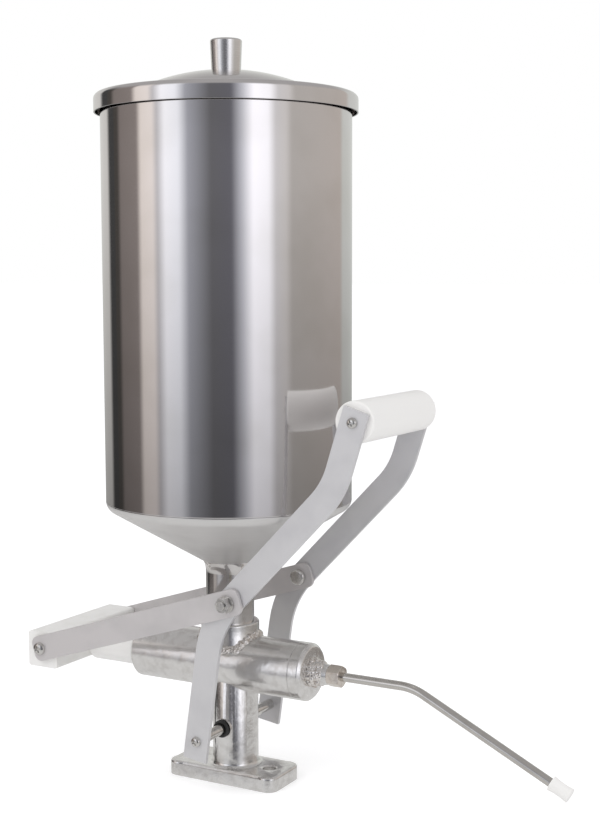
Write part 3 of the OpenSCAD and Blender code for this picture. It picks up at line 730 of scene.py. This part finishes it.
@dataclass
class Hopper:
    """The hopper's wall, its cone with the knuckle, its spout and their weld, in mm."""

    axis_x: float = -2.0
    radius: float = 90.0
    sheet: float = 1.0
    knuckle: float = 7.5
    slope_deg: float = 30.5
    spout_r: float = 17.8
    spout_wall: float = 1.5
    cone_top: float = 163.0
    spout_foot: float = 109.0
    wall_h: float = 290.0
    bead: float = 1.6
    bead_root_round: float = 0.3
    bead_foot_round: float = 1.1
    bead_top_round: float = 1.2
    rim_round: float = 0.7
    seam_gap: float = 0.05
    seam_inner_round: float = 0.25
    seam_outer_round: float = 0.35
    outlet_round: float = 0.3
    spout_round: float = 0.2
    weld_sunk: float = 0.4
    weld_drop: float = 7.0
    weld_reach: float = 5.5
    weld_steps: int = 10
    sheet_faces: int = 256
    knuckle_faces: int = 12
    spout_faces: int = 128

    @property
    def slope(self) -> float:
        """The cone's slope in radians."""
        return math.radians(self.slope_deg)

    @property
    def corner(self) -> float:
        """Height at which the cone would meet the wall without its knuckle."""
        return self.cone_top + (self.radius - self.spout_r) * math.tan(self.slope)

    @property
    def seam(self) -> float:
        """Height of the seam between the wall and the knuckle."""
        return self.corner + self.knuckle * math.tan((math.pi / 2 - self.slope) / 2)

    @property
    def rim(self) -> float:
        """Height of the rim."""
        return self.seam + self.wall_h

    @property
    def place(self) -> Matrix:
        """Where the hopper's axis lies in the part's frame."""
        return axis_place((self.axis_x, 0.0, 0.0), UP)

    def build(self, shop: Workshop) -> None:
        """Build and dress the hopper's three sheets and its weld.

        Args:
            shop: the workshop that makes them.
        """
        r, t, seam, rim = self.radius, self.sheet, self.seam, self.rim
        bead_r, bead_foot = r + self.bead, rim - 2.0 * self.bead
        wall = [(r - t, seam, self.seam_inner_round), (r, seam, self.seam_outer_round),
                (r, bead_foot, self.bead_root_round), (bead_r, bead_foot, self.bead_foot_round),
                (bead_r, rim, self.bead_top_round), (r - t, rim, self.rim_round)]
        shell = shop.turned("hopper_wall", wall, MIRROR, self.place, self.sheet_faces, "pump",
                            ("hopper_shell",))
        rise = t / math.cos(self.slope)
        bore = self.spout_r - self.spout_wall
        base = [(bore, self.cone_top + rise, self.outlet_round),
                (bore, self.cone_top, self.spout_round), (self.spout_r, self.cone_top, SHARP),
                (r, self.corner, self.knuckle),
                (r, seam - self.seam_gap, self.seam_outer_round),
                (r - t, seam - self.seam_gap, self.seam_inner_round),
                (r - t, self.corner + rise - t * math.tan(self.slope), self.knuckle - t)]
        cone = shop.turned("hopper_base", base, MIRROR, self.place, self.sheet_faces, "pump",
                           ("hopper_cone",), self.knuckle_faces)
        for piece in (shell, cone):
            self._dull_inside(piece.data)
        spout = [(bore, self.spout_foot, self.spout_round),
                 (self.spout_r, self.spout_foot, self.spout_round),
                 (self.spout_r, self.cone_top, SHARP), (bore, self.cone_top, SHARP)]
        shop.turned("hopper_neck", spout, NECK, self.place, self.spout_faces, "pump",
                    ("hopper_spout",))
        self._weld(shop)

    def _dull_inside(self, mesh: bpy.types.Mesh) -> None:
        """Give the faces that look towards the hopper's axis their duller finish.

        Args:
            mesh: the mesh of the wall or of the cone.
        """
        mesh.materials.append(INSIDE.material())
        for face in mesh.polygons:
            out = Vector((face.center.x - self.axis_x * MM, face.center.y, 0.0))
            face.material_index = int(face.normal.dot(out) < 0.0)

    def _weld(self, shop: Workshop) -> None:
        """Fill the corner between the spout and the cone with the polished weld.

        Args:
            shop: the workshop that makes it.
        """
        inside, toe = self.spout_r - self.weld_sunk, self.cone_top - self.weld_drop
        top = self.cone_top + self.weld_reach * math.tan(self.slope)
        weld = [(inside, toe, SHARP)]
        for step in range(self.weld_steps + 1):
            turn = math.pi / 2 * step / self.weld_steps
            weld.append((self.spout_r + self.weld_reach * (1 - math.cos(turn)),
                         toe + (top - toe) * math.sin(turn), SHARP))
        weld.append((inside, self.cone_top, SHARP))
        shop.turned("neck_weld", weld, NECK, self.place, self.spout_faces, "pump")


@dataclass
class Lid:
    """The lid with its flat ring and dome, and its knob, in mm."""

    hopper: Hopper
    skirt_r: float = 94.5
    skirt_h: float = 13.0
    skirt_round: float = 0.15
    shoulder: float = 4.0
    ring_w: float = 21.0
    rise: float = 17.0
    dome_round: float = 1.2
    gap: float = 0.3
    knob_r: float = 11.5
    knob_h: float = 22.0
    knob_sunk: float = 0.5
    knob_taper: float = 1.0
    knob_foot_round: float = 0.2
    knob_top_round: float = 1.5
    dome_steps: int = 24
    knob_faces: int = 96

    def build(self, shop: Workshop) -> None:
        """Build and dress the lid and its knob.

        Args:
            shop: the workshop that makes them.
        """
        t, place = self.hopper.sheet, self.hopper.place
        top = self.hopper.rim + self.gap + t
        dome_r = self.skirt_r - self.shoulder - self.ring_w
        ball = (dome_r**2 + self.rise**2) / (2 * self.rise)
        foot = top - self.skirt_h
        outer = [(self.skirt_r, foot, self.skirt_round), (self.skirt_r, top, self.shoulder)]
        under = [(self.skirt_r - t, top - t, self.shoulder - t),
                 (self.skirt_r - t, foot, self.skirt_round)]
        half = math.asin(dome_r / ball)
        for step in range(self.dome_steps + 1):
            turn = half * (1 - step / self.dome_steps)
            fillet = SHARP if step else self.dome_round
            r, z = ball * math.sin(turn), top + self.rise - ball * (1 - math.cos(turn))
            outer.append((r, z, fillet))
            under.insert(0, (r, z - t, fillet))
        shop.turned("lid_sheet", outer + under, MIRROR, place, self.hopper.sheet_faces, "lid",
                    ("lid_cover",))
        foot, summit = top + self.rise - self.knob_sunk, top + self.rise + self.knob_h
        knob = [(0.0, foot, SHARP), (self.knob_r - self.knob_taper, foot, self.knob_foot_round),
                (self.knob_r, summit, self.knob_top_round), (0.0, summit, SHARP)]
        shop.turned("lid_knob_turned", knob, KNOB, place, self.knob_faces, "lid", ("lid_knob",))
        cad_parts["lid_screw"].data.materials.clear()
        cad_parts["lid_screw"].data.materials.append(BRIGHT.material())


@dataclass
class Pump:
    """The cast pump with its end cap, its socket and the brazing round both, in mm.

    The brazing's droplets stand in rows on the socket's saddle, each row given by its rise and
    its inset, and wander by waves, each given by its size, its number round and its start.
    """

    axis_z: float = 88.0
    barrel_r: float = 21.0
    socket_x: float = -2.0
    socket_r: float = 22.3
    saddle: float = 12.5
    saddle_count: int = 110
    saddle_rows: tuple[tuple[float, float], ...] = ((0.1, 0.0), (1.5, 0.35), (3.0, 0.6))
    saddle_waves: tuple[tuple[float, float, float], ...] = ((0.5, 5.0, 0.0), (0.4, 11.0, 1.0))
    saddle_wander: float = 0.5
    saddle_flare: float = 0.25
    boss_x: float = 68.0
    boss_r: float = 10.0
    boss_l: float = 9.5
    boss_taper: float = 2.4
    boss_count: int = 84
    boss_turns: float = 3.6
    boss_wave: float = 0.35
    boss_waves: float = 7.3
    boss_lean: float = 0.6
    bead_r: float = 1.3
    bead_subdivisions: int = 2
    bead_shape: tuple[float, float, float] = (1.25, 1.25, 0.7)
    bead_spread: float = 0.6
    bead_seed: int = 7
    castings: tuple[Dressed, ...] = (
        Dressed("foot_column", CAST, 0.6, "pump"),
        Dressed("pump_barrel", CAST, 0.6, "pump"),
        Dressed("front_cap", CAST, 0.6, "pump"),
        Dressed("inlet_socket", CAST, 0.5, "pump"),
    )

    def build(self, shop: Workshop) -> None:
        """Build and dress the castings and the brazing.

        Args:
            shop: the workshop that makes them.
        """
        shop.dress(self.castings)
        work = bmesh.new()
        bmesh.ops.create_icosphere(work, subdivisions=self.bead_subdivisions,
                                    radius=self.bead_r * MM)
        bmesh.ops.scale(work, vec=self.bead_shape, verts=work.verts)
        shop.copies("brazing", keep(work, "braze_droplet"),
                    self._saddle_path() + self._boss_path(), BRAZE, "pump",
                    spread=self.bead_spread, seed=self.bead_seed)

    def _saddle_path(self) -> list[Place]:
        """Follow the line where the socket's foot meets the barrel, in rows that rise from it.

        Returns:
            Each droplet's place and aim.
        """
        places = []
        for index in range(self.saddle_count):
            turn = math.tau * index / self.saddle_count
            y = self.socket_r * math.sin(turn)
            over = math.sqrt(max(self.barrel_r**2 - y * y, self.saddle**2))
            wander = sum(size * math.sin(number * turn + start)
                         for size, number, start in self.saddle_waves)
            reach = self.socket_r + (self.barrel_r - over) * self.saddle_flare
            out = Vector((math.cos(turn), math.sin(turn), 0.0))
            for rise, inset in self.saddle_rows:
                lift = self.axis_z + over + rise + self.saddle_wander * wander
                place = Vector((self.socket_x, 0.0, lift)) + out * (reach - inset)
                places.append((place * MM, (out + Vector(UP)).normalized()))
        return places

    def _boss_path(self) -> list[Place]:
        """Wind droplets round the cone that carries the nozzle, aimed outwards and forwards.

        Returns:
            Each droplet's place and aim.
        """
        places = []
        for index in range(self.boss_count):
            share = index / self.boss_count
            turn = math.tau * self.boss_turns * share
            out = Vector((0.0, math.cos(turn), math.sin(turn)))
            wave = self.boss_wave * math.sin(self.boss_waves * turn)
            r = self.boss_r - self.boss_taper * share + wave
            place = Vector((self.boss_x + self.boss_l * share, 0.0, self.axis_z)) + out * r
            places.append((place * MM, (out + Vector((self.boss_lean, 0.0, 0.0))).normalized()))
        return places


@dataclass
class Lever:
    """The lever plates, the grip, the shaft and their fasteners, in mm."""

    pivot: tuple[float, float] = (2.0, 41.5)
    grip: tuple[float, float] = (126.684, 276.531)
    plate_outer: float = 53.0
    plate_inner: float = 50.0
    grip_r: float = 14.5
    grip_round: float = 1.3
    grip_faces: int = 128
    screw_head_r: float = 3.8
    plates: tuple[Dressed, ...] = (
        Dressed("near_lever", PLATES, 0.35, "lever"),
        Dressed("far_lever", PLATES, 0.35, "lever"),
    )
    fittings: tuple[Dressed, ...] = (
        Dressed("pivot_shaft", BRIGHT, 0.3, "lever"),
        Dressed("pivot_rings", RUBBER, 0.1, "lever"),
        Dressed("link_bolts", BRIGHT, 0.25, "lever"),
        Dressed("link_washers", BRIGHT, 0.25, "lever"),
        Dressed("link_nuts", BRIGHT, 0.25, "lever"),
    )

    def build(self, shop: Workshop) -> None:
        """Build and dress every piece that turns with the lever.

        Args:
            shop: the workshop that makes them.
        """
        shop.dress(self.plates)
        place = axis_place((self.grip[0], -self.plate_inner, self.grip[1]), (0.0, 1.0, 0.0))
        r, length = self.grip_r, 2 * self.plate_inner
        outline = [(0.0, 0.0, SHARP), (r, 0.0, self.grip_round), (r, length, self.grip_round),
                   (0.0, length, SHARP)]
        shop.turned("grip_turned", outline, NYLON, place, self.grip_faces, "lever", ("grip",))
        shop.dress(self.fittings)
        for node, spot in (("grip_screws", self.grip), ("pivot_screws", self.pivot)):
            shop.screw_pair(node + "_heads", node, self.screw_head_r, spot,
                            (-self.plate_outer, self.plate_outer), "lever")


@dataclass
class Plunger:
    """The link bars, the crosspiece and the piston, in mm."""

    rear: tuple[float, float] = (-136.685, 92.5)
    near_head_y: float = -56.6
    far_head_y: float = 50.0
    head_r: float = 4.9
    moving: tuple[Dressed, ...] = (
        Dressed("near_link", BARS, 0.35, "links"),
        Dressed("far_link", BARS, 0.35, "links"),
        Dressed("crosspiece", NYLON_BLOCK, 0.5, "plunger"),
        Dressed("piston", NYLON, 0.3, "plunger"),
        Dressed("piston_seals", RUBBER, 0.1, "plunger"),
    )

    def build(self, shop: Workshop) -> None:
        """Build and dress the bars and what they push.

        Args:
            shop: the workshop that makes them.
        """
        shop.dress(self.moving)
        shop.screw_pair("crosspiece_heads", "crosspiece_screws", self.head_r, self.rear,
                        (self.near_head_y, self.far_head_y), "plunger")


@dataclass
class Nozzle:
    """The nozzle tube with its nut, its ferrule and its white cap."""

    pieces: tuple[Dressed, ...] = (
        Dressed("nozzle_nut", FITTING, 0.25, "pump"),
        Dressed("nozzle_ferrule", BRIGHT, 0.1, "pump"),
        Dressed("nozzle_tube", TUBE, 0.2, "pump"),
        Dressed("tip_cap", NYLON, 0.4, "tip"),
    )

    def build(self, shop: Workshop) -> None:
        """Dress the nozzle's pieces."""
        shop.dress(self.pieces)


@dataclass(frozen=True)
class Lamp:
    """A soft square lamp: its place and size in metres, and its power in watts."""

    name: str
    spot: tuple[float, float, float]
    size: float
    power: float


@dataclass(frozen=True)
class Tone:
    """A colour that the surroundings turn into over a range of a direction's Z, up to a share."""

    colour: Colour
    start: float
    end: float
    most: float


@dataclass
class Studio:
    """The camera, the floor, the lamps and the surroundings that the mirror steel shows."""

    focal_px: float = 1432.0
    picture_h_px: float = 840.0
    sensor_mm: float = 36.0
    distance: float = 1.044
    height: float = 0.3745
    axis_x_mm: float = -2.0
    around_deg: float = 32.16
    yaw_deg: float = 2.86
    pitch_deg: float = 5.86
    roll_deg: float = -0.14
    floor_half: float = 40.0
    floor_tone: float = 0.97
    floor_lift: float = 0.3
    lamps: tuple[Lamp, ...] = (Lamp("key", (-0.6, -1.6, 1.9), size=1.4, power=12.0),
                               Lamp("fill", (1.9, -0.3, 1.4), size=1.4, power=5.0))
    lamps_aim: tuple[float, float, float] = (0.0, 0.0, 0.2)
    daylight: Colour = (0.78, 0.78, 0.79)
    card_gain: float = 1.25
    tones: tuple[Tone, ...] = (
        Tone((0.02, 0.02, 0.02), start=0.07, end=-0.17, most=0.58),
        Tone((0.46, 0.45, 0.45), start=0.3, end=0.6, most=1.0),
        Tone((0.72, 0.715, 0.71), start=-0.22, end=-0.28, most=0.92),
    )

    def build(self) -> None:
        """Set up the whole studio."""
        self._camera()
        self._floor()
        self._lamps()
        self._surroundings()
        bpy.context.scene.view_settings.view_transform = "Standard"

    def _camera(self) -> None:
        """Place the camera where the photograph was taken from."""
        yaw, pitch, roll = (math.radians(a) for a in (self.yaw_deg, self.pitch_deg, self.roll_deg))
        ahead = Vector((math.sin(yaw) * math.cos(pitch), math.cos(yaw) * math.cos(pitch),
                        -math.sin(pitch)))
        right = Vector((math.cos(yaw), -math.sin(yaw), 0.0))
        above = right.cross(ahead)
        tilted = right * math.cos(roll) + above * math.sin(roll)
        above = above * math.cos(roll) - right * math.sin(roll)
        turn = Matrix.Rotation(math.radians(self.around_deg), 3, "Z")
        basis = Matrix((turn @ tilted, turn @ above, turn @ -ahead)).transposed().to_4x4()
        spot = turn @ Vector((0.0, -self.distance, 0.0))
        spot += Vector((self.axis_x_mm * MM, 0.0, self.height))
        data = bpy.data.cameras.new("camera")
        data.sensor_fit = "VERTICAL"
        data.sensor_height = self.sensor_mm
        data.lens = self.sensor_mm * self.focal_px / self.picture_h_px
        camera = stand("camera", data)
        camera.matrix_world = Matrix.Translation(spot) @ basis
        bpy.context.scene.camera = camera

    def _floor(self) -> None:
        """Lay the pale floor, which the camera sees a little brighter than it is lit."""
        half = self.floor_half
        corners = [(-half, -half, 0.0), (half, -half, 0.0), (half, half, 0.0), (-half, half, 0.0)]
        mesh = bpy.data.meshes.new("floor")
        mesh.from_pydata(corners, [], [tuple(range(len(corners)))])
        floor = stand("floor", mesh)
        pale = bpy.data.materials.new("pale_floor")
        pale.use_nodes = True
        graph = ShaderGraph(pale.node_tree)
        seen = graph.node("ShaderNodeLightPath").outputs["Is Camera Ray"]
        graph.wire(pale.node_tree.nodes["Principled BSDF"], Roughness=1.0,
                   Base_Color=(*(self.floor_tone,) * 3, 1.0), Specular_IOR_Level=0.0,
                   Emission_Color=(*WHITE, 1.0),
                   Emission_Strength=graph.math("MULTIPLY", seen, self.floor_lift))
        mesh.materials.append(pale)
        floor.visible_glossy = False

    def _lamps(self) -> None:
        """Hang the soft lamps, which no reflection shows."""
        for lamp in self.lamps:
            data = bpy.data.lights.new(lamp.name, "AREA")
            data.size = lamp.size
            data.energy = lamp.power
            hung = stand(lamp.name, data)
            aim = Vector(self.lamps_aim) - Vector(lamp.spot)
            turn = aim.to_track_quat("-Z", "Y").to_matrix().to_4x4()
            hung.matrix_world = Matrix.Translation(lamp.spot) @ turn
            hung.visible_glossy = False

    def _surroundings(self) -> None:
        """Give the world its white backdrop, and for reflections its cards and tones."""
        world = bpy.data.worlds.new("studio")
        bpy.context.scene.world = world
        world.use_nodes = True
        graph = ShaderGraph(world.node_tree)
        away = graph.node("ShaderNodeSeparateXYZ",
                          i0=graph.node("ShaderNodeTexCoord").outputs["Generated"]).outputs
        bearing = graph.math("ARCTAN2", away["Y"], away["X"])
        cards = graph.node("ShaderNodeValToRGB",
                           Fac=graph.spread(bearing, (-math.pi, math.pi), (0.0, 1.0)))
        self._cards(cards.color_ramp)
        colours = cards.outputs["Color"]
        for tone in self.tones:
            share = graph.spread(away["Z"], (tone.start, tone.end), (0.0, tone.most))
            colours = graph.mix(share, colours, tone.colour)
        path = graph.node("ShaderNodeLightPath").outputs
        shown = graph.mix(path["Is Glossy Ray"], self.daylight, colours)
        graph.wire(world.node_tree.nodes["Background"],
                   Color=graph.mix(path["Is Camera Ray"], shown, WHITE))

    def _cards(self, ramp: bpy.types.ColorRamp) -> None:
        """Set the colours round the studio, by their bearing from the camera's own, to its right.

        Args:
            ramp: the ramp over all bearings, from due -X round to -X again.
        """
        stops = (
            (-173.0, (0.58, 0.58, 0.56)), (-138.0, (0.56, 0.55, 0.53)),
            (-132.0, (0.05, 0.05, 0.05)), (-116.0, (0.06, 0.055, 0.05)),
            (-111.0, (0.20, 0.175, 0.165)), (-88.0, (0.24, 0.21, 0.20)),
            (-83.0, (0.78, 0.72, 0.68)), (-70.0, (0.82, 0.76, 0.73)),
            (-65.0, (0.52, 0.51, 0.53)), (-57.0, (0.98, 0.99, 1.04)),
            (-44.0, (0.90, 0.92, 0.98)), (-35.0, (0.36, 0.37, 0.41)),
            (-14.0, (0.13, 0.13, 0.14)), (4.0, (0.13, 0.13, 0.15)),
            (14.0, (0.58, 0.59, 0.64)), (23.0, (1.12, 1.12, 1.18)),
            (37.0, (1.04, 1.04, 1.09)), (44.0, (0.62, 0.61, 0.62)),
            (54.0, (0.60, 0.58, 0.57)), (60.0, (0.44, 0.42, 0.40)),
            (125.0, (0.46, 0.42, 0.39)), (131.0, (0.54, 0.55, 0.53)),
            (170.0, (0.56, 0.57, 0.55)),
        )
        camera_bearing = self.around_deg - 90.0
        placed = sorted((((camera_bearing + angle + 180.0) % 360.0) / 360.0, colour)
                        for angle, colour in stops)
        while len(ramp.elements) < len(placed):
            ramp.elements.new(0.5)  # every element is moved to its place below
        for element, (position, colour) in zip(ramp.elements, placed):
            element.position = position
            element.color = (*(self.card_gain * share for share in colour), 1.0)


def main() -> None:
    """Build the studio and the object."""
    logging.basicConfig(level=logging.INFO, format="%(message)s")
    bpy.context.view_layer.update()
    Studio().build()
    shop = Workshop()
    hopper = Hopper()
    for assembly in (hopper, Lid(hopper), Pump(), Lever(), Plunger(), Nozzle()):
        assembly.build(shop)
        log.info("%s built", type(assembly).__name__)


if __name__ == "__main__":
    main()
